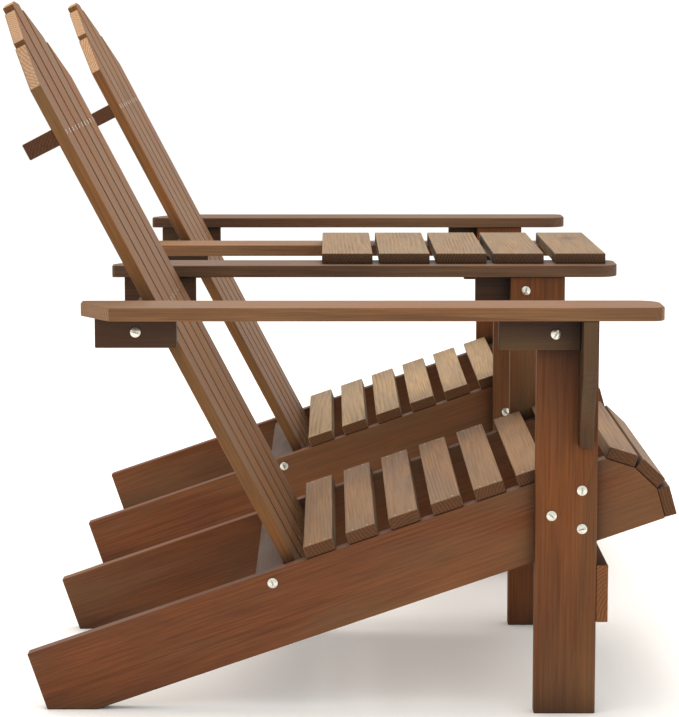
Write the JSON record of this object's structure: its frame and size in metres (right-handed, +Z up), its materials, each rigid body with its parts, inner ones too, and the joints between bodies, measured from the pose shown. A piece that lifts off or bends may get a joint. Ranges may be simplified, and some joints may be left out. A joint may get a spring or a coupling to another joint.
{
  "type": "twin adirondack chair",
  "caption": "Two reclined slatted garden chairs side by side, with arched backs and flat armrests, joined by a small slatted table between them.",
  "frame": {"origin": "on the ground, under the middle of the bounding box", "axes": "+Z up, chairs face -Y, +X along the row of seats"},
  "size_m": [1.5, 0.8728, 0.9018],
  "materials": {
    "stained_fir": "satin brown stain over planed fir",
    "zinc_plated_steel": "bright zinc"
  },
  "bodies": {
    "root": {"bolts": "zinc_plated_steel", "corbels": "stained_fir", "front_stretcher": "stained_fir", "left_arm_blocks": "stained_fir", "left_back_slat_1": "stained_fir", "left_back_slat_2": "stained_fir", "left_back_slat_3": "stained_fir", "left_back_slat_4": "stained_fir", "left_back_slat_5": "stained_fir", "left_inner_armrest": "stained_fir", "left_inner_front_leg": "stained_fir", "left_inner_stringer": "stained_fir", "left_lower_batten": "stained_fir", "left_middle_batten": "stained_fir", "left_nose_slat_1": "stained_fir", "left_nose_slat_2": "stained_fir", "left_nose_slat_3": "stained_fir", "left_outer_armrest": "stained_fir", "left_outer_front_leg": "stained_fir", "left_outer_stringer": "stained_fir", "left_seat_slat_1": "stained_fir", "left_seat_slat_2": "stained_fir", "left_seat_slat_3": "stained_fir", "left_seat_slat_4": "stained_fir", "left_seat_slat_5": "stained_fir", "left_seat_slat_6": "stained_fir", "left_seat_slat_7": "stained_fir", "left_upper_batten": "stained_fir", "right_arm_blocks": "stained_fir", "right_back_slat_1": "stained_fir", "right_back_slat_2": "stained_fir", "right_back_slat_3": "stained_fir", "right_back_slat_4": "stained_fir", "right_back_slat_5": "stained_fir", "right_inner_armrest": "stained_fir", "right_inner_front_leg": "stained_fir", "right_inner_stringer": "stained_fir", "right_lower_batten": "stained_fir", "right_middle_batten": "stained_fir", "right_nose_slat_1": "stained_fir", "right_nose_slat_2": "stained_fir", "right_nose_slat_3": "stained_fir", "right_outer_armrest": "stained_fir", "right_outer_front_leg": "stained_fir", "right_outer_stringer": "stained_fir", "right_seat_slat_1": "stained_fir", "right_seat_slat_2": "stained_fir", "right_seat_slat_3": "stained_fir", "right_seat_slat_4": "stained_fir", "right_seat_slat_5": "stained_fir", "right_seat_slat_6": "stained_fir", "right_seat_slat_7": "stained_fir", "right_upper_batten": "stained_fir", "screws_and_brads": "zinc_plated_steel", "sleeve_nuts": "zinc_plated_steel", "table_slat_1": "stained_fir", "table_slat_2": "stained_fir", "table_slat_3": "stained_fir", "table_slat_4": "stained_fir", "table_slat_5": "stained_fir"}
  },
  "joints": []
}
